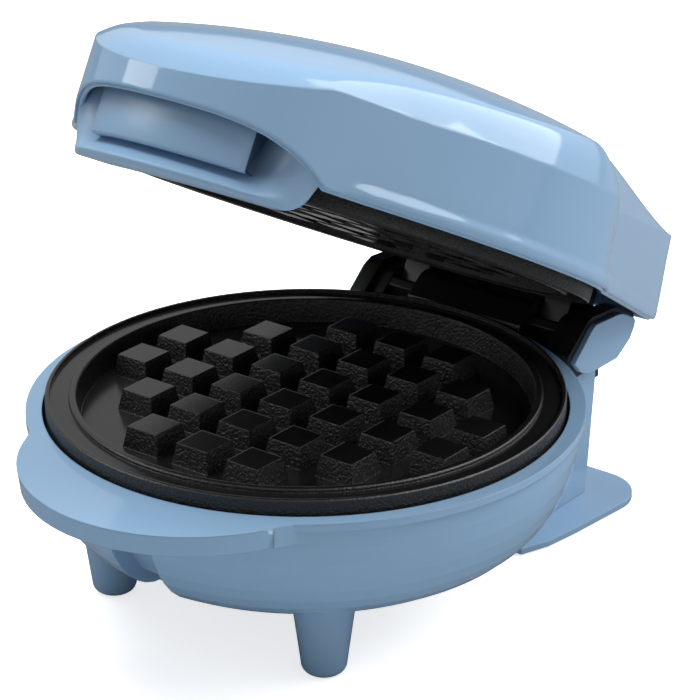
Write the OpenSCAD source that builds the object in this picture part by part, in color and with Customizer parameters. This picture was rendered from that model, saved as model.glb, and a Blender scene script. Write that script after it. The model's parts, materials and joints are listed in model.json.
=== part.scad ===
// Mini waffle maker: a round hinged baking iron on two front legs and a rear stand.
// The lid stands part open. The table is z = 0, the grips face -Y and the hinge runs along X.

/* [Baking plates] */
// Outer diameter of both baking plates
plate_d = 124; // [100:1:180]
// Height of the lower plate's rim above the table
plate_z = 50.8; // [40:0.2:80]
// Height of the plate's outer side wall
plate_side_h = 4.3; // [3:0.1:8]
// Width of the flat outer lip of a plate
plate_lip_w = 1.0; // [0.8:0.1:3]
// Diameter of the bead that holds the batter in
bead_d = 112.8; // [80:0.2:160]
// Width of that bead
bead_w = 1.8; // [1:0.1:4]
// Depth of the overflow channel outside the bead
channel_depth = 1.0; // [0.5:0.1:3]
// Depth of the baking cavity of one plate
cavity_depth = 6.0; // [3:0.1:10]
// Thickness of a plate's floor
plate_floor = 3.5; // [2.5:0.1:6]
// Distance between stud centres
stud_pitch = 15; // [10:0.5:25]
// Width of a stud at its foot
stud_foot = 10.6; // [6:0.1:20]
// Width of a stud at its top
stud_top = 8.8; // [5:0.1:18]
// Height of a stud
stud_h = 5.2; // [2:0.1:9]
// Studs are kept when their centre lies within this radius
stud_field_r = 46; // [30:1:80]
// Gap between the plate rims with the lid shut
plate_gap = 0.3; // [0.3:0.1:2]

/* [Base shell] */
// Diameter of the rim flange around the lower plate
rim_d = 133.4; // [110:0.2:200]
// Height of the rim flange's top
rim_z = 47.3; // [35:0.1:75]
// Thickness of the rim flange
rim_t = 2.0; // [1.5:0.1:4]
// Diameter of the opening the lower plate stands in
opening_d = 125.6; // [101:0.2:185]
// Diameter of the bowl's flat bottom
bowl_bottom_d = 92; // [60:1:150]
// Height of the bowl's bottom above the table
bowl_z = 16; // [8:0.5:40]
// Wall thickness of the plastic shells
wall = 2.2; // [1.6:0.1:4]
// Radius of the front lip's outline
lip_r = 41.3; // [25:0.1:70]
// Distance from the plate centre to the lip's centre
lip_y = 39.7; // [20:0.1:70]
// Thickness of the front lip
lip_t = 5.0; // [3:0.1:10]
// Radius of the hollow curve that leads from the lip round to the rim
lip_blend = 30; // [5:1:60]
// Half width of the notch in the bowl under the lip
notch_half = 6.5; // [4:0.1:12]

/* [Feet and column] */
// Sideways distance of a front leg from the middle
leg_x = 32.3; // [15:0.1:60]
// Forward distance of a front leg from the plate centre
leg_y = 34.4; // [15:0.1:60]
// Radius of a leg near the table
leg_r_low = 5.4; // [3.5:0.1:10]
// Radius of a leg where it meets the bowl
leg_r_high = 7.8; // [4:0.1:14]
// Width of the rear column
column_w = 61; // [30:0.5:90]
// Thickness of the rear stand plate
stand_t = 1.5; // [1.2:0.1:5]
// Gap between the stand plate and the table
stand_lift = 0.5; // [0.3:0.1:2]
// Distance from the hinge axis to the stand's back edge
stand_behind = 13.3; // [5:0.1:40]
// Half width of the stand near its back edge
stand_half = 41.8; // [25:0.1:60]

/* [Hinge] */
// Distance from the rim to the hinge axis
hinge_behind = 10.4; // [9:0.1:20]
// Height of the hinge axis
hinge_z = 46.0; // [35:0.1:80]
// Diameter of a hinge pin
pin_d = 6.0; // [3:0.1:8]
// Radial running clearance of a pin in its bore
pin_clear = 0.05; // [0.03:0.01:0.1]
// Radius of the hinge arm's eye
eye_r = 6.0; // [4.5:0.1:9]
// Half width over the blue hinge caps
cap_half = 36; // [25:0.1:60]
// Thickness of a hinge cap
cap_t = 1.4; // [0.8:0.1:4]
// Opening angle of the lid as it stands, measured from shut
lid_open = 28.85; // [0:0.05:60]

/* [Lid shell] */
// Height of the shut lid's bottom edge
lid_edge_z = 54.7; // [45:0.1:80]
// How far the wall flares out near its bottom edge, to the width of the rim
lid_flare = 1.0; // [0:0.1:3]
// How far the wall leans in up to the shoulder
lid_draft = 1.1; // [0:0.1:3]
// Height of the shoulder's lower edge at the sides of the shut lid
crease_z = 75.3; // [60:0.1:110]
// Height of the shoulder's lower edge at the front of the hood
crease_front_z = 69.3; // [60:0.1:110]
// Width of the shoulder seen from above
shoulder_w = 7.4; // [2:0.1:15]
// Radius of the domed top
dome_r = 228; // [120:1:500]
// How far the dome's peak sits behind the plate centre
dome_y = 12; // [0:0.5:30]
// Height of the dome's peak with the lid shut
dome_z = 92.9; // [80:0.1:130]
// How far the hinge block's side face is set in from the round wall
block_step = 1.7; // [0.5:0.1:4]
// Taper of the hinge block's side faces, in degrees
block_taper = 17.1; // [5:0.1:30]
// Distance from the hinge axis to the hinge block's back
block_behind = 14.9; // [12:0.1:30]
// Height of the hood's arch at its middle, with the lid shut
arch_z = 63.5; // [58:0.1:75]

/* [Lid grip] */
// Gap between the shut grip and the front lip
grip_gap = 0.3; // [0.3:0.1:3]
// Height of the grip's lower band
grip_band_h = 5.2; // [3:0.1:9]
// Radius of the ledge block's curved front
ledge_r = 37.3; // [25:0.1:60]
// Radius of the band's curved front
band_r = 38.6; // [25:0.1:65]
// Half width of the ledge block
ledge_half = 21.7; // [10:0.1:35]
// Height of the ledge block
ledge_h = 13; // [4:0.1:14]

/* [Hidden] */
$fn = 96;
eps = 0.01;
gap = 0.3;
blue = "#8FB3D4";
black = "#1B1B1C";
steel = "#A9ABAD";
plate_r = plate_d / 2;
bead_r = bead_d / 2;
cavity_r = bead_r - bead_w;
cavity_z = plate_z - cavity_depth;
under_z = cavity_z - plate_floor;
side_z = plate_z - plate_side_h;
mid_z = plate_z + plate_gap / 2;
rim_r = rim_d / 2;
hinge_y = rim_r + hinge_behind;
column_back = hinge_y + 2.7;
stand_back = hinge_y + stand_behind;
lid_wall_r = rim_r - lid_flare;
block_back = hinge_y + block_behind;
block_side = lid_wall_r - block_step;
opening_r = opening_d / 2;
bowl_r = bowl_bottom_d / 2;
bowl_top = rim_z - rim_t;
bowl_grow = rim_r - 0.9 - bowl_r;
floor_t = 3.0;
post_r = 41.5;
post_z = 31;
dish_t = 1.0;
ring_r = 30;
tube_r = 3.2;
tube_z = under_z - gap - tube_r;
stand_z = stand_lift + stand_t;
column_half = column_w / 2;
column_top = hinge_z - eye_r - gap;
cheek_in = 26;
cheek_out = 30.2;
ear_out = cap_half - cap_t;
core_half = 17.5;
bore_r = pin_d / 2 + pin_clear;
frame_z = 2 * mid_z - post_z + dish_t;
frame_t = 2.5;
frame_r = block_side - wall - 4;
grip_z = rim_z + grip_gap;
ledge_z = grip_z + grip_band_h;
open_c = cos(lid_open);
open_s = sin(lid_open);
back_open = hinge_y + (block_behind - 3.5) * open_c + (crease_z + 1.7 - hinge_z) * open_s;
front_y = lip_y + lip_r;
shift_y = (front_y - back_open) / 2;

module in_place() {
  translate([0, shift_y, 0]) children();
}

module lid_place() {
  in_place()
    translate([0, hinge_y, hinge_z])
      rotate([-lid_open, 0, 0])
        translate([0, -hinge_y, -hinge_z])
          children();
}

// Turns a lower piece over about the plane between the plates, left and right kept
module turned_over() {
  translate([0, 0, 2 * mid_z]) mirror([0, 0, 1]) children();
}

// A shape drawn as [y, z] points, drawn out along X from x0 to x1
module along_x(x0, x1) {
  translate([x0, 0, 0])
    rotate([90, 0, 90])
      linear_extrude(height = x1 - x0)
        children();
}

module rod_x(x0, x1, r, y, z) {
  translate([x0, y, z]) rotate([0, 90, 0]) cylinder(h = x1 - x0, r = r);
}

module at_posts() {
  for (a = [30, 150, 270]) rotate([0, 0, a]) translate([post_r, 0, 0]) children();
}

// Points of a round corner about c, from angle a0 to a1
function corner(c, r, a0, a1, n = 6) =
  [for (i = [0 : n]) [c[0] + r * cos(a0 + (a1 - a0) * i / n), c[1] + r * sin(a0 + (a1 - a0) * i / n)]];

// ---- Base ----

// Bowl profile: a quarter ellipse from the flat bottom up to the rim
function bowl_curve(r0, z0, grow, n = 10) =
  [for (i = [0 : n]) [r0 + grow * sin(90 * i / n), bowl_top - (bowl_top - z0) * cos(90 * i / n)]];

module bowl_outside() {
  rotate_extrude() polygon(concat([[0, bowl_z]], bowl_curve(bowl_r, bowl_z, bowl_grow), [[0, bowl_top]]));
}

module bowl_inside() {
  rotate_extrude()
    polygon(concat(
      [[0, bowl_z + floor_t]],
      bowl_curve(bowl_r, bowl_z + floor_t, bowl_grow - wall),
      [[opening_r, bowl_top], [opening_r, rim_z + 1], [0, rim_z + 1]]
    ));
}

module column_outside() {
  along_x(-column_half, column_half)
    polygon([[44, stand_z], [column_back - 2.8, stand_z], [column_back, 32], [column_back, column_top], [44, column_top]]);
}

module column_inside() {
  along_x(-column_half + wall, column_half - wall)
    polygon([[44 + wall, stand_z - 1], [column_back - 2.8 - wall, stand_z - 1], [column_back - wall, 32],
      [column_back - wall, column_top - wall], [44 + wall, column_top - wall]]);
}

// Middle of the hollow curve beside the lip, which touches the lip's circle and the bowl just under the rim
bowl_high_r = bowl_r + bowl_grow - 0.2;
blend_y = (pow(bowl_high_r + lip_blend, 2) - pow(lip_r + lip_blend, 2) + lip_y * lip_y) / (2 * lip_y);
blend_x = sqrt(pow(bowl_high_r + lip_blend, 2) - blend_y * blend_y);

module lip_outside() {
  translate([0, -lip_y, rim_z - lip_t]) cylinder(h = lip_t, r1 = lip_r - 0.6, r2 = lip_r);
  both_sides() translate([0, 0, rim_z - lip_t]) linear_extrude(height = lip_t) difference() {
    polygon([[0, -lip_y], [0, -rim_r / 2], [blend_x * 0.5, -blend_y * 0.5], [blend_x, -blend_y]]);
    translate([blend_x, -blend_y]) circle(r = lip_blend);
  }
}

module leg() {
  top = bowl_z + 5;
  rotate_extrude()
    polygon(concat([[0, 0]], corner([leg_r_low - 2.6, 2.6], 2.6, -90, 0), [[leg_r_high, top], [0, top]]));
}

// Space of the notch under the lip, and the wall kept behind it, as [y, z] outlines
module notch_space() {
  along_x(-notch_half, notch_half)
    polygon([[-70, bowl_z - 1], [-46.8, bowl_z - 1], [-46.8, 17], [-52.6, 21.5], [-58.2, 30], [-60.6, rim_z - lip_t],
      [-70, rim_z - lip_t]]);
}

module notch_wall() {
  intersection() {
    bowl_outside();
    along_x(-notch_half - wall, notch_half + wall)
      polygon([[-70, bowl_z], [-46, bowl_z], [-46, 19.5], [-50.4, 22.8], [-55.8, 31], [-58.2, rim_z - lip_t + 2],
        [-58.2, rim_z - rim_t], [-70, rim_z - rim_t]]);
  }
}

module stand_posts() {
  for (x = [-25.5, 25.5], y = [hinge_y - 23, hinge_y - 9]) translate([x, y, 0]) children();
}

module base_shell() color(blue) in_place() {
  difference() {
    union() {
      difference() {
        union() {
          bowl_outside();
          column_outside();
          lip_outside();
          translate([0, 0, bowl_top]) cylinder(h = rim_t, r = rim_r);
        }
        bowl_inside();
        column_inside();
      }
      notch_wall();
      at_posts() translate([0, 0, bowl_z]) cylinder(h = post_z - dish_t - bowl_z, r = 4.2);
      stand_posts() translate([0, 0, stand_z]) cylinder(h = 10, r = 3.6);
      for (x = [-leg_x, leg_x]) translate([x, -leg_y, 0]) leg();
    }
    notch_space();
    at_posts() {
      translate([0, 0, bowl_z - eps]) cylinder(h = post_z, r = 1.7);
      translate([0, 0, bowl_z - eps]) cylinder(h = 4 + eps, r = 3.3);
    }
    stand_posts() translate([0, 0, stand_z - eps]) cylinder(h = 8, r = 1.5);
    translate([0, 0, bowl_z - eps]) cylinder(h = 1.8 + eps, r = 36.3);
    translate([0, 0, bowl_z - eps]) cylinder(h = floor_t + 1, r = 31);
    for (a = [90, 210, 330]) rotate([0, 0, a]) translate([33.6, 0, bowl_z]) cylinder(h = floor_t + 1, r = 1.05);
    translate([0, column_back + 1, 15]) rotate([90, 0, 0]) cylinder(h = 8, r = 4.8);
    for (x = [-12, 12]) translate([x, hinge_y - 3.1, column_top - wall - 1]) cylinder(h = 4, r = 1.7);
    translate([0, hinge_y - 3.1, column_top - wall - 1]) cylinder(h = 4, r = 2.4);
  }
}

module bottom_cover() color(blue) in_place() difference() {
  translate([0, 0, bowl_z]) cylinder(h = 1.8, r = 36);
  for (x = [-20 : 8 : 20]) translate([x, 0, bowl_z + 0.9]) cube([3, 30, 4], center = true);
  for (a = [90, 210, 330]) rotate([0, 0, a]) translate([33.6, 0, bowl_z - 1]) cylinder(h = 4, r = 1.3);
}

module bottom_cover_screws() color(steel) in_place()
  for (a = [90, 210, 330])
    rotate([0, 0, a])
      translate([33.6, 0, bowl_z - 1]) {
        cylinder(h = 1, r = 2.2);
        cylinder(h = 1 + 1.8 + 1.1, r = 1);
      }

module stand_outline() {
  polygon(concat(
    [[-36, hinge_y - 37], [36, hinge_y - 37], [38.8, hinge_y - 29], [40.1, hinge_y - 19]],
    corner([stand_half - 12, stand_back - 12], 12, 0, 90, 9),
    corner([12 - stand_half, stand_back - 12], 12, 90, 180, 9),
    [[-40.1, hinge_y - 19], [-38.8, hinge_y - 29]]
  ));
}

module rear_stand() color(blue) in_place() difference() {
  translate([0, 0, stand_lift]) linear_extrude(height = stand_t) stand_outline();
  stand_posts() translate([0, 0, stand_lift - 1]) cylinder(h = 4, r = 1.7);
  for (x = [-30, 30]) translate([x, hinge_y + 2.9, stand_lift - 1]) cylinder(h = 1.7, r = 5.2);
}

module stand_screws() color(steel) in_place()
  stand_posts() translate([0, 0, stand_lift + stand_t - 1.8]) {
    cylinder(h = 1.8 - stand_t + 8, r = 1.4);
    cylinder(h = 0.3, r = 2.4);
  }

module stand_pads() color(black) in_place()
  for (x = [-30, 30]) translate([x, hinge_y + 2.9, 0]) cylinder(h = stand_lift + 0.7, r = 5);

module cord_bush() color(black) in_place() difference() {
  translate([0, column_back + 2.4, 15]) rotate([90, 0, 0]) {
    cylinder(h = 2.4, r = 6.4);
    cylinder(h = 8, r = 4.5);
  }
  translate([0, column_back + 3, 15]) rotate([90, 0, 0]) cylinder(h = 10, r = 3);
}

// ---- Hinge ----

// Side outlines of the hinge pieces, as [y, z] points counted from the hinge axis
module ear_outline() {
  polygon([[-17.1, -1.5], [-16.3, 0.4], [-8.1, 7], [-6.2, 7.8], [4.4, 7.1], [6.9, 6.5], [12.9, 3.2], [13.6, 2],
    [13.2, -0.8], [10.9, -3.8], [7.3, -5.8], [3.9, -6.3], [-12.6, -6.3], [-15.5, -4.8], [-16.9, -3]]);
}

module cap_outline() {
  polygon([[-15.5, -1.4], [-7.7, 5.5], [-6.1, 6.2], [4.3, 5.6], [6.5, 5], [11.5, 2.3], [12.1, 1.4], [11.7,
    -0.2], [9.9, -2.8], [6.7, -4.8], [3.9, -6.3], [-8.9, -6.3], [-12.6, -4.6]]);
}

// Fairing between the hinge arms; its front stays behind the rim flange and the plate
module core_outline() {
  polygon([[-13.7, 1.6], [-12.9, 3.4], [-7.7, 7.2], [-5.7, 7.8], [4.4, 7.1], [6.9, 6.5], [11.5, 3.6], [12.5,
    1.4], [11.7, -1.2], [9.3, -4], [6.1, -5.8], [3.9, -6.3], [-9.9, -6.3], [-9.9, 1.6]]);
}

module at_axis() {
  translate([0, hinge_y, hinge_z]) children();
}

// Repeats a shape on the right and, mirrored, on the left
module both_sides() {
  children();
  mirror([1, 0, 0]) children();
}

module hinge_block() color(black) in_place() difference() {
  union() {
    at_axis() {
      both_sides() {
        along_x(cheek_in, cheek_out) cap_outline();
        along_x(cheek_out, ear_out) ear_outline();
      }
      along_x(-core_half, core_half) core_outline();
      along_x(-cheek_out, cheek_out)
        polygon([[-9.9, -eye_r - gap], [-7.5, -eye_r - gap], [-7.5, 4.6], [-8.5, 4.6], [-9.9, 3.2]]);
      both_sides() along_x(cheek_in, cheek_out)
        polygon([[1.9, -eye_r - gap], [3, -eye_r - gap], [3, -13], [4.7, -13], [4.7, 1.5 - eye_r - gap],
          [1.9, 1.5 - eye_r - gap]]);
    }
  }
  both_sides() {
    rod_x(core_half - 3.2, cheek_out + 1, bore_r, hinge_y, hinge_z);
    rod_x(cheek_out, ear_out + 1, 4.8, hinge_y, hinge_z);
  }
  translate([0, hinge_y - 3.1, column_top - 1]) cylinder(h = 20, r = 2.4);
  for (x = [-12, 12]) translate([x, hinge_y - 3.1, column_top - 1]) cylinder(h = 8, r = 1.2);
}

module hinge_block_screws() color(steel) in_place()
  for (x = [-12, 12])
    translate([x, hinge_y - 3.1, column_top - wall - 1.2]) {
      cylinder(h = 1.2, r = 2.6);
      cylinder(h = 1.2 + wall + 6, r = 1.1);
    }

module hinge_cap() {
  at_axis() along_x(ear_out, cap_half) cap_outline();
}

module hinge_cap_left() color(blue) in_place() mirror([1, 0, 0]) hinge_cap();

module hinge_cap_right() color(blue) in_place() hinge_cap();

module hinge_pins() color(steel) in_place() both_sides() {
  rod_x(core_half - 3, cheek_out + 2, pin_d / 2, hinge_y, hinge_z);
  rod_x(cheek_out, cheek_out + 2, 4.5, hinge_y, hinge_z);
}

// ---- Baking plates and what heats them ----

// One stud: flat topped, with four sloped sides
module stud() {
  a = stud_foot / 2;
  b = stud_top / 2;
  intersection() {
    translate([0, a, 0]) rotate([90, 0, 0]) linear_extrude(height = 2 * a)
      polygon([[-a - 0.1, -0.5], [a + 0.1, -0.5], [b, stud_h], [-b, stud_h]]);
    translate([-a, 0, 0]) rotate([90, 0, 90]) linear_extrude(height = 2 * a)
      polygon([[-a - 0.1, -0.5], [a + 0.1, -0.5], [b, stud_h], [-b, stud_h]]);
  }
}

module plate() {
  difference() {
    union() {
      rotate_extrude()
        polygon([[0, under_z], [plate_r - 4.5, under_z], [plate_r - 4.5, side_z], [plate_r, side_z],
          [plate_r, plate_z - 0.3], [plate_r - 0.3, plate_z], [plate_r - plate_lip_w, plate_z],
          [plate_r - plate_lip_w, plate_z - channel_depth], [bead_r, plate_z - channel_depth],
          [bead_r, plate_z - 0.3], [bead_r - 0.3, plate_z], [cavity_r + 0.3, plate_z], [cavity_r, plate_z - 0.3],
          [cavity_r - 0.8, cavity_z], [0, cavity_z]]);
      for (i = [-3 : 3], j = [-3 : 2])
        if (norm([i * stud_pitch, (j + 0.5) * stud_pitch]) < stud_field_r)
          translate([i * stud_pitch, (j + 0.5) * stud_pitch, cavity_z]) stud();
      at_posts() translate([0, 0, post_z]) cylinder(h = under_z - post_z + 1, r = 3.8);
      for (r = [ring_r - tube_r - gap - 1.4, ring_r + tube_r + gap])
        rotate_extrude() translate([r, under_z - 3]) square([1.4, 3.5]);
    }
    at_posts() translate([0, 0, post_z - 1]) cylinder(h = 9, r = 1.5);
  }
}

module lower_plate() color(black) in_place() plate();

module plate_screws(head_z) {
  at_posts() {
    translate([0, 0, head_z]) cylinder(h = 2, r = 2.9);
    translate([0, 0, head_z]) cylinder(h = post_z + 6 - head_z, r = 1.4);
  }
}

module lower_plate_screws() color(steel) in_place() plate_screws(bowl_z + 2);

// Bent tube with two cold ends turned away from the plate at the back
module element() {
  rotate([0, 0, 110]) rotate_extrude(angle = 320) translate([ring_r, 0]) circle(r = tube_r);
  for (a = [110, 70]) rotate([0, 0, a]) translate([ring_r, 0, -10]) cylinder(h = 10, r = 1.6);
  for (a = [110, 70]) rotate([0, 0, a]) translate([ring_r, 0, 0]) sphere(r = tube_r);
}

module lower_element() color(steel) in_place() translate([0, 0, tube_z]) element();

// Pressed reflector: flat floor on the posts, flared wall, holes for screws and cold ends
module dish() {
  difference() {
    rotate_extrude()
      polygon([[0, post_z - dish_t], [50, post_z - dish_t], [56.6, 40], [56.6, 41], [55.4, 41], [55.4, 40.3],
        [49.4, post_z], [0, post_z]]);
    at_posts() translate([0, 0, post_z - 2]) cylinder(h = 3, r = 1.7);
    for (a = [110, 70]) rotate([0, 0, a]) translate([ring_r, 0, post_z - 2]) cylinder(h = 3, r = 3.2);
  }
}

module lower_dish() color(steel) in_place() dish();

module thermostat() {
  translate([0, 0, under_z - 1.2]) cylinder(h = 1.2, r = 9);
  translate([0, 0, under_z - 8]) cylinder(h = 7, r = 7.5);
  for (x = [-1, 1]) translate([x * 9 - 4, -2.4, under_z - 6]) cube([8, 4.8, 0.8]);
}

module lower_thermostat() color(steel) in_place() thermostat();

module thermal_fuse() color(steel) in_place() {
  rod_x(-6, 6, 2.0, -16, post_z - dish_t - 2.3);
  rod_x(-13, 13, 0.6, -16, post_z - dish_t - 2.3);
}

module fuse_clip() color(steel) in_place() difference() {
  translate([-3, -22, post_z - dish_t - 5.3]) cube([6, 12, 5.3]);
  translate([-4, -18.3, post_z - dish_t - 4.6]) cube([8, 4.6, 5]);
  for (y = [-23, -13]) translate([-4, y, post_z - dish_t - 6.3]) cube([8, 4, 5.5]);
}

module terminal_block() color("#D9D4C6") in_place() difference() {
  translate([-11, 50, stand_z]) cube([22, 12, 10]);
  for (x = [-6, 6]) {
    translate([x, 49, stand_z + 5]) rotate([-90, 0, 0]) cylinder(h = 14, r = 1.6);
    translate([x, 54, stand_z + 5]) cylinder(h = 6, r = 1.8);
  }
}

module wire_sleeve() color(black) in_place()
  translate([0, 56, stand_z + 10 + gap + 2.7]) rotate([-90, 0, 0]) cylinder(h = column_back - 56, r = 2.7);

// ---- Lid ----

// Shell's top surface above a point p of the shut lid
function dome_at(p) =
  dome_z - dome_r + sqrt(dome_r * dome_r - p[0] * p[0] - (p[1] - dome_y) * (p[1] - dome_y)) - hip_at(p[0], p[1]);
// Drop of the top towards the sides of the hinge block
function hip_at(x, y) =
  4.8 * sin(180 * min(1, max(0, (y - 8) / 82))) * pow(min(1.1, abs(x) / (65 - 0.33 * max(0, y))), 3);

// Reach of the shut lid's outline from the plate's axis, in direction a and at height z, drawn in by w for
// the wall and by d for the shoulder
function up_at(z) = min(1, max(0, (z - lid_edge_z - 5) / (crease_z - lid_edge_z - 5)));
function round_reach(w, d, z) = lid_wall_r - lid_draft * up_at(z) - w - d;
function hood_reach(a, w, d) =
  let (r = lip_r - w - d, h = r * r - pow(lip_y * cos(a), 2))
  h > 0 ? -lip_y * sin(a) + sqrt(h) : 0;
// Angle from the X axis to the nearer side of the block, and the angle where the round wall turns in to it
function side_turn(a) = a > 90 ? 180 - a : a;
function valley(z) = 27 - 7 * min(1, max(0, (z - lid_edge_z) / 8));
function narrowed(a, d) = d * (1 - 0.75 * min(1, max(0, (side_turn(a) - 22) / 42)));
function side_reach(a, w, d, z) =
  (block_side - 1.3 * up_at(z) - w - narrowed(a, d)) / cos(side_turn(a) - block_taper);
function back_reach(a, w, d, z) = (block_back - 0.16 * (z - lid_edge_z) - w - 0.15 * d) / sin(a);
function block_reach(a, w, d, z) = min(side_reach(a, w, d, z), back_reach(a, w, d, z));
function ease(t) = pow(min(1, max(0, t)), 2.2);
function rear_reach(a, w, d, z) =
  let (v = valley(z), t = side_turn(a))
  t > v ? block_reach(a, w, d, z)
        : round_reach(w, d, z) + (block_reach(v, w, d, z) - round_reach(w, d, z)) * ease((t - 9) / (v - 9));
// Larger of two reaches, rounded over k where they meet
function joined(a, b, k) = max(a, b) + pow(max(0, k - abs(a - b)), 2) / (4 * k);
function round_part(a, w, d, z) = 1 - min(1, max(0, (hood_reach(a, w, d) - round_reach(w, d, z)) / 4 + 0.5));
function reach(a, w, d, z, flare = 0) =
  a < 180 ? rear_reach(a, w, d, z) + flare * (side_turn(a) > valley(z) ? 0.3 : 1)
          : joined(round_reach(w, d, z), hood_reach(a, w, d), 5) + flare * round_part(a, w, d, z);
function at(a, w, d, z, flare = 0) = let (r = reach(a, w, d, z, flare)) [r * cos(a), r * sin(a)];

// Bottom edge: level all round, raised into an arch under the hood
function arch_angle(p) = abs(atan2(p[0], -p[1] - lip_y));
function edge_at(p) =
  p[1] < -lip_y && arch_angle(p) < 61 ? arch_z - (arch_z - lid_edge_z) * pow(arch_angle(p) / 61, 4) : lid_edge_z;
// Shoulder's lower edge: level, lower over the hood, a little higher round the hinge block
function crease_at(p) =
  crease_z - (crease_z - crease_front_z) * min(1, max(0, (-p[1] - 63.4) / 17.6))
  - (side_turn(atan2(p[1], p[0])) > 19 && p[1] > 0 ? 2.2 - 3.2 * min(1, max(0, (p[1] - 20) / 66)) : 0);

steps = 120;
turn = [for (i = [0 : steps - 1]) i * 360 / steps];
function lift(p, z) = [p[0], p[1], z];
function wall_ring(w, up, flare) =
  [for (a = turn) let (p = at(a, w, 0, lid_edge_z + up, flare)) lift(p, edge_at(p) + up)];
function crease_ring(w, down) = [for (a = turn) let (p = at(a, w, 0, 76)) lift(p, crease_at(p) - down)];
function shoulder_ring(w, u) =
  [for (a = turn)
    let (p = at(a, w, shoulder_w * u, 79), c = crease_at(at(a, 0, 0, 76)), t = dome_at(at(a, w, shoulder_w, 79)))
    lift(p, c + (t - c) * (u + 0.13 * sin(180 * u)) - w)];
function dome_ring(w, s) =
  [for (a = turn) let (p = s * at(a, w, shoulder_w, 79)) lift(p, dome_at(p) - w)];
lid_rings = [
  dome_ring(wall, 0.3), dome_ring(wall, 0.6), dome_ring(wall, 0.85), shoulder_ring(wall, 1),
  shoulder_ring(wall, 0.5), crease_ring(wall, 0.9), wall_ring(wall, 5, 0.3), wall_ring(wall, 0, 0.3),
  wall_ring(0, 0, 0.3), wall_ring(0, 1.8, lid_flare), wall_ring(0, 5, 0.3), crease_ring(0, 0),
  shoulder_ring(0, 0.33), shoulder_ring(0, 0.67), shoulder_ring(0, 1), dome_ring(0, 0.85), dome_ring(0, 0.6),
  dome_ring(0, 0.3)
];

// Closed skin over rings of equal length, with a point in the middle of the first and of the last
module skin(rings, first, last) {
  n = len(rings[0]);
  m = len(rings);
  polyhedron(
    points = concat([for (r = rings, p = r) p], [first, last]),
    faces = concat(
      [for (i = [0 : n - 1]) [n * m, (i + 1) % n, i]],
      [for (k = [0 : m - 2], i = [0 : n - 1])
        let (a = k * n + i, b = k * n + (i + 1) % n, c = a + n, d = b + n)
        each i < n / 4 || i >= 3 * n / 4 ? [[a, b, c], [b, d, c]] : [[a, b, d], [a, d, c]]],
      [for (i = [0 : n - 1]) [n * m + 1, (m - 1) * n + i, (m - 1) * n + (i + 1) % n]]
    ),
    convexity = 6
  );
}

lamp_x = 9;
lamp_y = 45;

module lid_shell() color(blue) lid_place() difference() {
  skin(lid_rings, [0, 0, dome_at([0, 0]) - wall], [0, 0, dome_at([0, 0])]);
  for (x = [-lamp_x, lamp_x]) translate([x, lamp_y, crease_z]) cylinder(h = 20, r = 2.9);
}

// Front part of a shape turned about the middle of the lip, no wider than half on each side
module about_lip(half) {
  intersection() {
    translate([0, -lip_y, 0]) children();
    translate([-half, -90, 40]) cube([2 * half, 90 - 42, 40]);
  }
}

// Grip: a band whose face slopes in to the back wall, with a ledge block standing out of it
module lid_grip() color(blue) lid_place() difference() {
  union() {
    about_lip(36)
      rotate_extrude()
        polygon([[0, grip_z], [band_r - 0.8, grip_z], [band_r, grip_z + 0.8], [band_r, grip_z + 1.4],
          [band_r - 2.4, grip_z + 3.2], [band_r - 5.8, grip_z + 6], [band_r - 8, grip_z + 8.8],
          [band_r - 8.8, grip_z + 11], [0, grip_z + 11]]);
    about_lip(ledge_half) translate([0, 0, ledge_z]) cylinder(h = ledge_h, r = ledge_r);
    intersection() {
      translate([0, 0, grip_z]) cylinder(h = frame_z - grip_z, r = opening_r + 1.6);
      translate([-36, -70, grip_z]) cube([72, 50, 30]);
    }
  }
  translate([0, 0, grip_z - 1]) cylinder(h = 40, r = opening_r);
  for (x = [-36.5, 36.5]) translate([x, -58, grip_z]) rotate([0, x > 0 ? 40 : -40, 0]) cube([6, 20, 5], center = true);
  difference() {
    about_lip(ledge_half - wall) translate([0, 0, grip_z + wall]) cylinder(h = ledge_h + 0.8, r = ledge_r - wall - 4);
    for (x = [-7, 7]) translate([x - 0.8, -90, 40]) cube([1.6, 60, 40]);
  }
}

module hinge_arm() difference() {
  union() {
    rod_x(core_half + 0.5, cheek_in - gap, eye_r, hinge_y, hinge_z);
    along_x(core_half + 0.5, cheek_in - gap)
      polygon([[hinge_y - eye_r, hinge_z], [hinge_y + eye_r, hinge_z], [hinge_y + 5.2, hinge_z + 6],
        [hinge_y + 5.2, frame_z + eps], [hinge_y - 17, frame_z + eps], [hinge_y - eye_r, hinge_z + 12]]);
  }
  rod_x(core_half, cheek_in, bore_r, hinge_y, hinge_z);
}

module lid_frame() color(black) lid_place() difference() {
  union() {
    difference() {
      translate([0, 0, frame_z]) cylinder(h = frame_t, r = frame_r);
      translate([0, 0, frame_z - 1]) cylinder(h = frame_t + 2, r = 35);
    }
    translate([-30, hinge_y - 21, frame_z]) cube([60, 28, frame_t]);
    both_sides() hinge_arm();
  }
  at_posts() translate([0, 0, frame_z - 1]) cylinder(h = frame_t + 2, r = 1.7);
}

module upper_plate() color(black) lid_place() turned_over() plate();

module upper_plate_screws() color(steel) lid_place() turned_over() plate_screws(2 * mid_z - frame_z - frame_t - 2);

module upper_element() color(steel) lid_place() turned_over() translate([0, 0, tube_z]) element();

module upper_dish() color(steel) lid_place() turned_over() dish();

module upper_thermostat() color(steel) lid_place() turned_over() thermostat();

module lamp_carrier() color(black) lid_place() difference() {
  translate([-14, lamp_y - 5, frame_z + frame_t]) cube([28, 9.5, 4]);
  for (x = [-lamp_x, lamp_x]) translate([x, lamp_y, frame_z + frame_t + 1]) cylinder(h = 4, r = 2.9);
}

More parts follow.
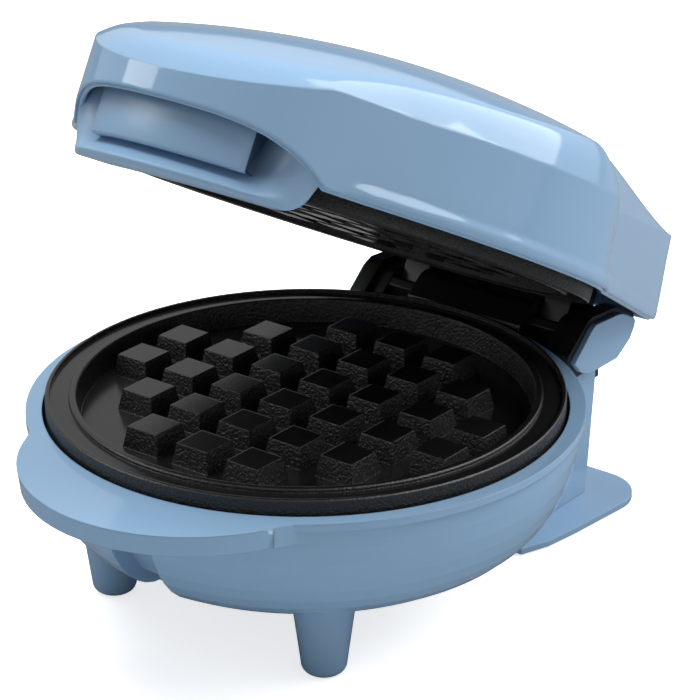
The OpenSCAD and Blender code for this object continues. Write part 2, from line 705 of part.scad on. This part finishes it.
module lamp_lens(x) {
  translate([x, lamp_y, frame_z + frame_t + 1])
    cylinder(h = dome_at([lamp_x, lamp_y]) - frame_z - frame_t - 0.5, r = 2.6);
}

module lamp_lens_red() color("#B3261E") lid_place() lamp_lens(-lamp_x);

module lamp_lens_green() color("#3B8F4B") lid_place() lamp_lens(lamp_x);

module lid_sleeve() color(black) lid_place()
  translate([10, lamp_y + 5, frame_z + frame_t + gap + 1.8]) rotate([-90, 0, 0]) cylinder(h = hinge_y - lamp_y, r = 1.8);

base_shell();
bottom_cover();
bottom_cover_screws();
rear_stand();
stand_screws();
stand_pads();
cord_bush();
hinge_block();
hinge_block_screws();
hinge_cap_left();
hinge_cap_right();
hinge_pins();
lower_plate();
lower_plate_screws();
lower_element();
lower_dish();
lower_thermostat();
thermal_fuse();
fuse_clip();
terminal_block();
wire_sleeve();
lid_shell();
lid_grip();
lid_frame();
upper_plate();
upper_plate_screws();
upper_element();
upper_dish();
upper_thermostat();
lamp_carrier();
lamp_lens_red();
lamp_lens_green();
lid_sleeve();
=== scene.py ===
import json
import math

import bmesh
import bpy
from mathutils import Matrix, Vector


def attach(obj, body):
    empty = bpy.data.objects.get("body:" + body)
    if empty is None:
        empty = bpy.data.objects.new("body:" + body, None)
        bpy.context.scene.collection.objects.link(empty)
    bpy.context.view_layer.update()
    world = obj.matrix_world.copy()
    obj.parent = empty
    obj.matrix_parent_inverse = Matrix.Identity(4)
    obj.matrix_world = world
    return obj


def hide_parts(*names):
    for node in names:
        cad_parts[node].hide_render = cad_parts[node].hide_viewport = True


# Place of the plates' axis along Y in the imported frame, in metres
SHIFT_Y = -0.01052

# ---- Camera ----

LENS, SENSOR = 144.74, 36.0
CAMERA_AT = (0.3832, -0.4782 + SHIFT_Y, 0.3227)
LOOKS_DOWN, TURNED_LEFT = 23.21, 37.73


def place_camera():
    data = bpy.data.cameras.new("camera")
    data.lens = LENS
    data.sensor_width = SENSOR
    data.clip_start = 0.05
    data.clip_end = 10.0
    camera = bpy.data.objects.new("camera", data)
    bpy.context.scene.collection.objects.link(camera)
    camera.location = CAMERA_AT
    camera.rotation_euler = (math.radians(90 - LOOKS_DOWN), 0.0, math.radians(TURNED_LEFT))
    bpy.context.scene.camera = camera


place_camera()
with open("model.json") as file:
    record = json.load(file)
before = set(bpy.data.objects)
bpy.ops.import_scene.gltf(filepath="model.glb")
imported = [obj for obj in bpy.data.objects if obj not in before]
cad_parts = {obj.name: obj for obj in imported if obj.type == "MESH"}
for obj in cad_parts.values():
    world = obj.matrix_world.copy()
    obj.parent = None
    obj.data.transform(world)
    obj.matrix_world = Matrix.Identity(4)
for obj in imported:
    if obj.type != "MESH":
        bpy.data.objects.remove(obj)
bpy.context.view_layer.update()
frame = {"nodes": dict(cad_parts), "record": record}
nodes = frame["nodes"]


def linear(hex_colour):
    """A written sRGB colour as the linear one that shaders take."""
    parts = [int(hex_colour[i:i + 2], 16) / 255 for i in (1, 3, 5)]
    return tuple(c / 12.92 if c <= 0.04045 else ((c + 0.055) / 1.055) ** 2.4 for c in parts) + (1.0,)


class Recipe:
    """The node tree of a material or a world, with one way to add a node, its settings and its links."""

    def __init__(self, owner):
        self.owner = owner
        owner.use_nodes = True
        self.tree = owner.node_tree
        self.tree.nodes.clear()

    def add(self, kind, settings=None, links=None):
        node = self.tree.nodes.new(kind)
        for key, value in (settings or {}).items():
            if key in node.inputs:
                node.inputs[key].default_value = value
            else:
                setattr(node, key, value)
        for key, source in (links or {}).items():
            self.tree.links.new(source, node.inputs[key])
        return node.outputs

    def finish(self, shader, output="ShaderNodeOutputMaterial"):
        self.add(output, {}, {"Surface": shader})
        return self.owner


def material_recipe(name):
    return Recipe(bpy.data.materials.new(name))


# ---- Lid, as it lies shut, in millimetres from the plates' axis ----

# The hinge's axis, and how many degrees the lid stands open
HINGE_Y, HINGE_Z, OPEN = 77.1, 46.0, 28.85
# The round middle, the hood over the lip, and the moulding's wall
WALL_R, WALL_LEAN, WALL = 65.7, 1.1, 2.2
LIP_Y, HOOD_R, HOOD_BLEND = 39.7, 41.3, 5.0
# Heights of the lower edge, of the foot of the wall above it, and of the crease between wall and shoulder
EDGE_Z, FOOT_UP, CREASE_Z, CREASE_FRONT_Z = 54.7, 5, 75.3, 69.3
# The crease sinks to its front height over this stretch
CREASE_SINKS_FROM, CREASE_SINKS_OVER = 63.4, 17.6
# The shoulder: how far it draws in, its bulge, and the height it is measured at
SHOULDER, SHOULDER_BULGE, SHOULDER_Z, CREASE_AT_Z = 7.4, 0.13, 79, 76
# The dome's sphere, and the dip of its sides towards the hinge block
DOME_R, DOME_TOP, DOME_Y = 228, 92.9, 12
HIP_DEEP, HIP_FROM, HIP_LONG = 4.8, 8, 82
# The hinge block at the back: half width, taper in degrees, back face and its lean, rounding of its corner
BLOCK_SIDE, BLOCK_LEAN, BLOCK_TAPER, BLOCK_BACK, BACK_LEAN, BLOCK_ROUND = 64.0, 1.3, 17.1, 92.0, 0.16, 1.6
# The valley where the round wall turns into the block: its direction, and how it moves with height
VALLEY_TURN, VALLEY_SHIFT, VALLEY_RISE, VALLEY_STARTS = 27, 7, 8, 9
# The arch that is cut out of the hood over the grip
ARCH_Z, ARCH_HALF = 63.5, 61.0
# The double bead along the lower edge, from inside to outside: in from the outline, up, share of the flare
EDGE_BEAD = [
    (WALL, FOOT_UP, 0.3), (WALL, 0.5, 0.3), (WALL, 0.1, 0.3), (WALL - 0.2, -0.3, 0.3), (1.5, -0.6, 0.3),
    (1.1, -0.55, 0.4), (0.95, -0.1, 0.4), (0.9, 0.35, 0.4), (0.75, 0.4, 0.45), (0.65, 0.05, 0.5),
    (0.45, -0.05, 0.5), (0.15, 0.05, 0.6), (0, 0.45, 0.85), (0, 1.0, 1.0), (0, 2.0, 1.0),
    (0, 2.9, 0.64), (0, 3.8, 0.3),
]
LID_TURNS = 480


def sin_deg(a):
    return math.sin(math.radians(a))


def cos_deg(a):
    return math.cos(math.radians(a))


def between(t, low=0.0, high=1.0):
    return min(high, max(low, t))


def eased(t):
    t = between(t)
    return t * t * (3 - 2 * t)


def lid_opened(p):
    """A point of the shut lid, as it stands at rest, in metres."""
    y, z = p[1] - HINGE_Y, p[2] - HINGE_Z
    c, s = cos_deg(OPEN), sin_deg(OPEN)
    return (p[0] / 1000, (HINGE_Y + y * c + z * s) / 1000 + SHIFT_Y, (HINGE_Z - y * s + z * c) / 1000)


def dome_at(x, y):
    """Height of the dome, lower at its sides where it runs down to the hinge block."""
    across = min(1.1, abs(x) / (65 - 0.33 * max(0, y)))
    hip = HIP_DEEP * sin_deg(180 * between((y - HIP_FROM) / HIP_LONG)) * across ** 3
    return DOME_TOP - DOME_R + math.sqrt(DOME_R ** 2 - x * x - (y - DOME_Y) ** 2) - hip


def leaned(z):
    """How far up the wall's lean a height is: 0 at its foot, 1 at the crease."""
    return between((z - EDGE_Z - FOOT_UP) / (CREASE_Z - EDGE_Z - FOOT_UP))


def round_reach(w, d, z):
    return WALL_R - WALL_LEAN * leaned(z) - w - d


def hood_reach(a, w, d):
    r = HOOD_R - w - d
    h = r * r - (LIP_Y * cos_deg(a)) ** 2
    return -LIP_Y * sin_deg(a) + math.sqrt(h) if h > 0 else 0.0


def side_turn(a):
    return 180 - a if a > 90 else a


def valley(z):
    return VALLEY_TURN - VALLEY_SHIFT * between((z - EDGE_Z) / VALLEY_RISE)


def block_reach(a, w, d, z):
    """Reach of the hinge block: its tapered side or its back face, joined by a small round corner."""
    turn = side_turn(a)
    narrow = d * (1 - 0.75 * between((turn - 22) / 42))
    side = (BLOCK_SIDE - BLOCK_LEAN * leaned(z) - w - narrow) / cos_deg(turn - BLOCK_TAPER)
    back = (BLOCK_BACK - BACK_LEAN * (z - EDGE_Z) - w - 0.15 * d) / sin_deg(a)
    k = BLOCK_ROUND
    return min(side, back) - max(0.0, k - abs(side - back)) ** 2 / (4 * k)


def rear_reach(a, w, d, z):
    v, turn = valley(z), side_turn(a)
    if turn > v:
        return block_reach(a, w, d, z)
    r = round_reach(w, d, z)
    return r + (block_reach(v, w, d, z) - r) * between((turn - VALLEY_STARTS) / (v - VALLEY_STARTS)) ** 2.2


def lid_point(a, w, d, z, flare=0.0):
    """Point of the lid's outline in direction a, drawn in by w for the wall and d for the shoulder."""
    if a < 180:
        reach = rear_reach(a, w, d, z) + flare * (0.3 if side_turn(a) > valley(z) else 1.0)
    else:
        r, h, k = round_reach(w, d, z), hood_reach(a, w, d), HOOD_BLEND
        reach = max(r, h) + max(0.0, k - abs(r - h)) ** 2 / (4 * k) + flare * (1 - between((h - r) / 4 + 0.5))
    return reach * cos_deg(a), reach * sin_deg(a)


def edge_at(x, y):
    """Height of the lid's lower edge, which arches up over the grip."""
    turn = abs(math.degrees(math.atan2(x, -y - LIP_Y)))
    if y < -LIP_Y and turn < ARCH_HALF:
        return ARCH_Z - (ARCH_Z - EDGE_Z) * (turn / ARCH_HALF) ** 4
    return EDGE_Z


def crease_at(x, y):
    """Height of the crease: lower over the hood, and stepped where the hinge block starts."""
    z = CREASE_Z - (CREASE_Z - CREASE_FRONT_Z) * between((-y - CREASE_SINKS_FROM) / CREASE_SINKS_OVER)
    turn = side_turn(math.degrees(math.atan2(y, x)))
    if y > 0:
        z -= eased((turn - 16) / 5) * (2.2 - 3.2 * between((y - 20) / 66))
    return z


def lid_profile(a):
    """Points down the lid's section in direction a, from the inside of the dome to its outside."""
    def wall(w, up, flare):
        x, y = lid_point(a, w, 0, EDGE_Z + up, flare)
        return x, y, edge_at(x, y) + up

    def shoulder(w, u):
        x, y = lid_point(a, w, SHOULDER * u, SHOULDER_Z)
        low = crease_at(*lid_point(a, 0, 0, CREASE_AT_Z))
        top = dome_at(*lid_point(a, w, SHOULDER, SHOULDER_Z))
        return x, y, low + (top - low) * (u + SHOULDER_BULGE * sin_deg(180 * u)) - w

    def dome(w, share):
        x, y = lid_point(a, w, SHOULDER, SHOULDER_Z)
        return x * share, y * share, dome_at(x * share, y * share) - w

    x, y = lid_point(a, 0, 0, CREASE_AT_Z)
    crease = (x, y, crease_at(x, y))
    foot = wall(0, FOOT_UP, 0.25)
    rise = [tuple(f + (c - f) * t for f, c in zip(foot, crease)) for t in (0.3, 0.6, 0.85, 0.94)]
    inner_x, inner_y = lid_point(a, WALL, 0, CREASE_AT_Z)
    inside = [dome(WALL, 0.5), dome(WALL, 0.9), shoulder(WALL, 1), shoulder(WALL, 0.5)]
    inside.append((inner_x, inner_y, crease[2] - 1.5))
    outside = [shoulder(0, u) for u in (0.06, 0.15, 0.35, 0.6, 0.82, 0.93, 1)]
    outside += [dome(0, s) for s in (0.985, 0.95, 0.85, 0.7, 0.5, 0.3, 0.12)]
    return inside + [wall(*point) for point in EDGE_BEAD] + [foot] + rise + [crease] + outside


def cut_corners(line, rounds):
    """An open line of points with its corners rounded off; the two ends stay."""
    for _ in range(rounds):
        new = [line[0]]
        for p, q in zip(line, line[1:]):
            new.append(tuple(0.75 * a + 0.25 * b for a, b in zip(p, q)))
            new.append(tuple(0.25 * a + 0.75 * b for a, b in zip(p, q)))
        line = new + [line[-1]]
    return line


def linked(name, mesh):
    piece = bpy.data.objects.new(name, mesh)
    bpy.context.scene.collection.objects.link(piece)
    return piece


def skinned(name, sections, closed, cap_first=None, cap_last=None):
    """A mesh skinned over sections of equal length; its caps are fans to one point each."""
    n, m = len(sections), len(sections[0])
    points = [p for s in sections for p in s]
    faces = []
    for i in range(n if closed else n - 1):
        j = (i + 1) % n
        faces += [(i * m + k, i * m + k + 1, j * m + k + 1, j * m + k) for k in range(m - 1)]
    for point, row in ((cap_first, 0), (cap_last, m - 1)):
        if point is not None:
            points.append(point)
            faces += [(i * m + row, ((i + 1) % n) * m + row, len(points) - 1) for i in range(n)]
    mesh = bpy.data.meshes.new(name)
    mesh.from_pydata(points, [], faces)
    mesh.validate()
    shell = bmesh.new()
    shell.from_mesh(mesh)
    bmesh.ops.recalc_face_normals(shell, faces=shell.faces)
    shell.to_mesh(mesh)
    shell.free()
    mesh.shade_smooth()
    return linked(name, mesh)


def lid_shell():
    sections = []
    for i in range(LID_TURNS):
        line = cut_corners(lid_profile(i * 360 / LID_TURNS), 2)
        sections.append([lid_opened(p) for p in line])
    inside = lid_opened((0, 0, dome_at(0, 0) - WALL))
    outside = lid_opened((0, 0, dome_at(0, 0)))
    return skinned("lid_shell_moulding", sections, True, inside, outside)


# ---- Grip under the hood, in the same millimetres ----

GRIP_Z, GRIP_HALF, GRIP_STEPS = 47.6, 60.2, 160
# Radius of the opening the plate stands in, and of the back wall the scoop runs up to
OPENING_R, SCOOP_BACK_R = 62.8, 64.4
# The scoop's section at the middle, going up from the lower edge: radius about the lip, height
SCOOP = [(38.6, 49.0), (37.6, 49.8), (36.2, 50.8), (34.6, 52.0), (32.8, 53.6), (30.6, 56.4), (28.6, 60.0)]
# The straight face that the scoop runs out into at both ends
STRAIGHT_R, STRAIGHT_LEAN, STRAIGHT_Z = 38.0, 0.27, 48.3
# The ledge block: half length, radius of its front, lower and upper side, radius of its back
LEDGE_HALF, LEDGE_R, LEDGE_LOW, LEDGE_HIGH, LEDGE_BACK_R = 21.7, 37.3, 52.8, 65.8, 64.0
LEDGE_ROUND, LEDGE_STEPS = 1.2, 40


def about_lip(turn, r, z):
    return r * sin_deg(turn), -LIP_Y - r * cos_deg(turn), z


def back_reach_at(turn, r):
    """Distance from the lip's middle to the circle of radius r about the plates, in direction turn."""
    return -LIP_Y * cos_deg(turn) + math.sqrt(r * r - (LIP_Y * sin_deg(turn)) ** 2)


def grip_section(turn):
    """Section of the grip at a turn about the lip's middle: bottom, rounded edge, then the face going up."""
    side = abs(turn)
    lift = 6.4 * (1 - math.sqrt(1 - between((side - 50.5) / 9.8, 0, 0.995) ** 2))
    low = GRIP_Z + lift
    x, y, _ = about_lip(turn, 39.5, 0)
    top = edge_at(x, y) + 1.2
    deep = 1 - eased((side - 37) / 20)
    back = back_reach_at(turn, SCOOP_BACK_R)
    face = []
    for k, (r, z) in enumerate(SCOOP):
        straight_z = low + 2.1 + (top - low - 2.1) * (k / (len(SCOOP) - 1)) ** 1.2
        straight_r = STRAIGHT_R + STRAIGHT_LEAN * (straight_z - STRAIGHT_Z)
        r = max(r, back) if k > 1 else r
        face.append((r * deep + straight_r * (1 - deep), z * deep + straight_z * (1 - deep)))
    face.append((face[-1][0] - 1.5 * deep, face[-1][1] + 6 * deep + 0.5))
    inner = min(back_reach_at(turn, OPENING_R), 35.0)
    edge = [(inner, face[-1][1]), (inner, low), (36.8, low), (37.7, low + 0.1), (38.2, low + 0.7)]
    return [about_lip(turn, r, z) for r, z in edge + face]


def grip_face():
    sections = []
    for i in range(GRIP_STEPS + 1):
        line = grip_section(-GRIP_HALF + 2 * GRIP_HALF * i / GRIP_STEPS)
        line = line[:2] + cut_corners(line[2:], 2)
        sections.append([lid_opened(p) for p in line])
    return skinned("grip_moulding", sections, False)


def ledge_block():
    """Block with a curved front and straight ends that stands out of the grip's back wall."""
    def section(x, inset):
        front = LIP_Y + math.sqrt(LEDGE_R ** 2 - x * x) - inset
        back = math.sqrt(LEDGE_BACK_R ** 2 - x * x) - 1.5
        low, high = LEDGE_LOW, LEDGE_HIGH
        line = [(back, low), (front - 0.7, low), (front - 0.2, low + 0.2), (front, low + 0.7),
                (front, high - 0.7), (front - 0.7, high), (back, high)]
        return [lid_opened((x, -y, z)) for y, z in line]

    half, straight = LEDGE_HALF, LEDGE_HALF - LEDGE_ROUND
    ends = [(half - 0.02, 1.1), (half - 0.2, 0.6), (half - 0.6, 0.2), (straight, 0.0)]
    middle = [straight * (1 - 2 * i / LEDGE_STEPS) for i in range(1, LEDGE_STEPS)]
    sections = [section(x, d) for x, d in ends] + [section(x, 0) for x in middle]
    sections += [section(-x, d) for x, d in reversed(ends)]
    block = skinned("grip_ledge", sections, False)
    whole = bmesh.new()
    whole.from_mesh(block.data)
    bmesh.ops.holes_fill(whole, edges=[e for e in whole.edges if e.is_boundary])
    bmesh.ops.recalc_face_normals(whole, faces=whole.faces)
    whole.to_mesh(block.data)
    whole.free()
    block.data.set_sharp_from_angle(angle=math.radians(50))
    return block


# ---- Finishes ----

def soft_edges(recipe, radius):
    """Normals that round off each edge by the radius a mould leaves, in metres."""
    return recipe.add("ShaderNodeBevel", {"samples": 6, "Radius": radius})[0]


def blue_plastic(name, roughness, grain):
    """Moulded plastic coloured right through: polished steel moulds give it a clear gloss, spark-eroded
    ones a satin that blurs what it mirrors."""
    r = material_recipe(name)
    here = r.add("ShaderNodeTexCoord")
    skin = r.add("ShaderNodeTexNoise", {"Scale": 2600.0, "Detail": 2.0}, {"Vector": here["Object"]})
    flow = r.add("ShaderNodeTexNoise", {"Scale": 28.0, "Detail": 1.0}, {"Vector": here["Object"]})
    shine = r.add("ShaderNodeMapRange", {"To Min": roughness * 0.8, "To Max": roughness * 1.25},
                  {"Value": flow["Fac"]})
    edge = soft_edges(r, 0.0005)
    bump = r.add("ShaderNodeBump", {"Strength": grain, "Distance": 0.00003},
                 {"Height": skin["Fac"], "Normal": edge})
    s = r.add("ShaderNodeBsdfPrincipled", {"Base Color": linear("#87A8C7"), "IOR": 1.5},
              {"Normal": bump["Normal"], "Roughness": shine["Result"]})
    return r.finish(s["BSDF"])


def black_plastic():
    """Moulded black plastic, a little dulled by a fine mould surface, so it mirrors only softly."""
    r = material_recipe("moulded_black_plastic")
    edge = soft_edges(r, 0.0004)
    s = r.add("ShaderNodeBsdfPrincipled", {"Base Color": linear("#161616"), "Roughness": 0.35, "IOR": 1.5},
              {"Normal": edge})
    return r.finish(s["BSDF"])


def nonstick():
    """Sprayed black non-stick coat over cast aluminium: smooth and a little shiny where it was turned
    flat, rough as cast on the walls, where each grain gives a small glint."""
    r = material_recipe("sprayed_nonstick_on_cast_aluminium")
    here = r.add("ShaderNodeTexCoord")
    fine = r.add("ShaderNodeTexNoise", {"Scale": 1700.0, "Detail": 2.0}, {"Vector": here["Object"]})
    cast = r.add("ShaderNodeTexNoise", {"Scale": 1500.0, "Detail": 2.0, "Roughness": 0.5},
                 {"Vector": here["Object"]})
    facing = r.add("ShaderNodeSeparateXYZ", {}, {"Vector": here["Normal"]})
    level = r.add("ShaderNodeMath", {"operation": "ABSOLUTE"}, {0: facing["Z"]})
    wall = r.add("ShaderNodeMapRange", {"From Min": 0.80, "From Max": 0.60, "To Min": 0.0, "To Max": 1.0},
                 {"Value": level[0]})
    edge = soft_edges(r, 0.00045)
    smooth = r.add("ShaderNodeBump", {"Strength": 0.25, "Distance": 0.00008},
                   {"Height": fine["Fac"], "Normal": edge})
    rough = r.add("ShaderNodeBump", {"Distance": 0.0004},
                  {"Height": cast["Fac"], "Normal": smooth["Normal"], "Strength": wall["Result"]})
    shine = r.add("ShaderNodeMapRange", {"To Min": 0.19, "To Max": 0.4}, {"Value": wall["Result"]})
    s = r.add("ShaderNodeBsdfPrincipled", {"Base Color": linear("#1A1A1B"), "IOR": 1.5},
              {"Normal": rough["Normal"], "Roughness": shine["Result"]})
    return r.finish(s["BSDF"])


def plain(name, colour, roughness, metallic=0.0):
    r = material_recipe(name)
    s = r.add("ShaderNodeBsdfPrincipled",
              {"Base Color": linear(colour), "Roughness": roughness, "Metallic": metallic})
    return r.finish(s["BSDF"])


looks = {
    "blue_plastic": blue_plastic("polished_blue_plastic", 0.08, 0.1),
    "black_plastic": black_plastic(),
    "nonstick_aluminium": nonstick(),
    # Screws and clips: a thin bright plating, slightly blurred
    "zinc_steel": plain("zinc_plated_steel", "#B9BABB", 0.3, 1.0),
    # Heater tube: darkened and dulled by heat
    "element_steel": plain("heat_darkened_steel_tube", "#6A6764", 0.45, 1.0),
    # Reflector dishes: rolled sheet with a pale, softly shining coat
    "aluminised_steel": plain("aluminised_sheet_steel", "#C4C6C8", 0.35, 1.0),
    # Thermostat cans: drawn aluminium, pale and fairly clear
    "thermostat_case": plain("drawn_aluminium_case", "#C9CACB", 0.3, 1.0),
    # Terminal block: fired ceramic, off-white and matt
    "terminal_ceramic": plain("fired_ceramic", "#DAD5C8", 0.6),
    # Pads: moulded rubber, nearly without shine
    "pad_rubber": plain("moulded_rubber", "#1A1A1A", 0.8),
    # Wire sleeves: woven glass thread, pale and dull
    "glass_sleeve": plain("woven_glass_sleeve", "#CFCABD", 0.8),
    # Lamp lenses: polished plastic, clear gloss over a strong colour
    "lens_red": plain("polished_red_plastic", "#B3261E", 0.15),
    "lens_green": plain("polished_green_plastic", "#3B8F4B", 0.15),
}
satin_blue = blue_plastic("spark_eroded_blue_plastic", 0.38, 0.6)

for part in frame["record"]["subparts"]:
    mesh = nodes[part["node"]].data
    mesh.materials.clear()
    mesh.materials.append(looks[part["material_slot"]])


def dress(piece, body, slot, finish, *stands_for):
    piece.data.materials.append(finish)
    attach(piece, body)
    if stands_for:
        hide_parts(*stands_for)


dress(lid_shell(), "lid", "blue_plastic", looks["blue_plastic"], "lid_shell")
dress(grip_face(), "lid", "blue_plastic", satin_blue, "lid_grip")
dress(ledge_block(), "lid", "blue_plastic", satin_blue)


# ---- Floor, lamps and surroundings ----

FLOOR_HALF = 9
# The lamps point at this height, about the middle of the waffle maker
AIM_Z = 0.08


def floor_finish():
    """Matt white paper, kept darker in what it throws back than in what is seen of it."""
    r = material_recipe("matt_white_paper")
    seen = r.add("ShaderNodeLightPath")
    lit = r.add("ShaderNodeBsdfDiffuse", {"Color": linear("#F0F0F0")})
    glow = r.add("ShaderNodeEmission", {"Color": linear("#FFFFFF"), "Strength": 0.72})
    shown = r.add("ShaderNodeAddShader", {}, {0: lit["BSDF"], 1: glow["Emission"]})
    thrown = r.add("ShaderNodeBsdfDiffuse", {"Color": linear("#DCDCDC")})
    mirrored = r.add("ShaderNodeBsdfDiffuse", {"Color": linear("#7A7A7A")})
    unseen = r.add("ShaderNodeMixShader", {},
                   {0: seen["Is Glossy Ray"], 1: thrown["BSDF"], 2: mirrored["BSDF"]})
    paper = r.add("ShaderNodeMixShader", {}, {0: seen["Is Camera Ray"], 1: unseen[0], 2: shown[0]})
    return r.finish(paper[0])


def softbox(name, azimuth, elevation, distance, width, height, radiance, mirrored=True, lights=True):
    """Softbox aimed at the waffle maker; azimuth 0 is in front of it and 90 to its right."""
    level = distance * cos_deg(elevation)
    at = Vector((level * sin_deg(azimuth), -level * cos_deg(azimuth), distance * sin_deg(elevation)))
    light = bpy.data.lights.new(name, "AREA")
    light.shape = "RECTANGLE"
    light.size, light.size_y = width, height
    light.energy = radiance * math.pi * width * height
    lamp = linked(name, light)
    lamp.location = at + Vector((0, 0, AIM_Z))
    lamp.rotation_euler = (-at).to_track_quat("-Z", "Y").to_euler()
    lamp.visible_glossy = mirrored
    lamp.visible_diffuse = lights


def white_studio():
    """White all round to the eye, dimmer in gloss and dimmer still as a light."""
    world = bpy.data.worlds.new("white_studio")
    bpy.context.scene.world = world
    r = Recipe(world)
    seen = r.add("ShaderNodeLightPath")
    unseen = r.add("ShaderNodeMix", {"A": 0.27, "B": 0.55}, {"Factor": seen["Is Glossy Ray"]})
    shown = r.add("ShaderNodeMix", {"B": 1.0}, {"A": unseen["Result"], "Factor": seen["Is Camera Ray"]})
    sky = r.add("ShaderNodeBackground", {"Color": (1, 1, 1, 1)}, {"Strength": shown["Result"]})
    r.finish(sky["Background"], "ShaderNodeOutputWorld")


def stage():
    mesh = bpy.data.meshes.new("floor")
    f = FLOOR_HALF
    mesh.from_pydata([(-f, -f, 0), (f, -f, 0), (f, f, 0), (-f, f, 0)], [], [(0, 1, 2, 3)])
    mesh.materials.append(floor_finish())
    linked("floor", mesh)
    white_studio()
    bpy.context.scene.view_settings.view_transform = "Standard"
    # The shoulder's long highlight
    softbox("rear_softbox", 152, 41, 1.3, 1.25, 1.1, 3.0)
    # The bright band along the flare over the lid's lower edge
    softbox("side_strip_light", 102, 46, 1.2, 1.1, 0.5, 4.5, lights=False)
    # The small highlight on the hood
    softbox("front_softbox", -54, 32, 1.2, 0.5, 0.62, 4.5, lights=False)
    # The main light, from above on the left, and its fill on the right
    softbox("top_softbox", -84, 70, 1.5, 1.0, 1.0, 7.8, mirrored=False)
    softbox("right_softbox", 122, 44, 1.4, 0.8, 0.8, 2.6, mirrored=False)


stage()
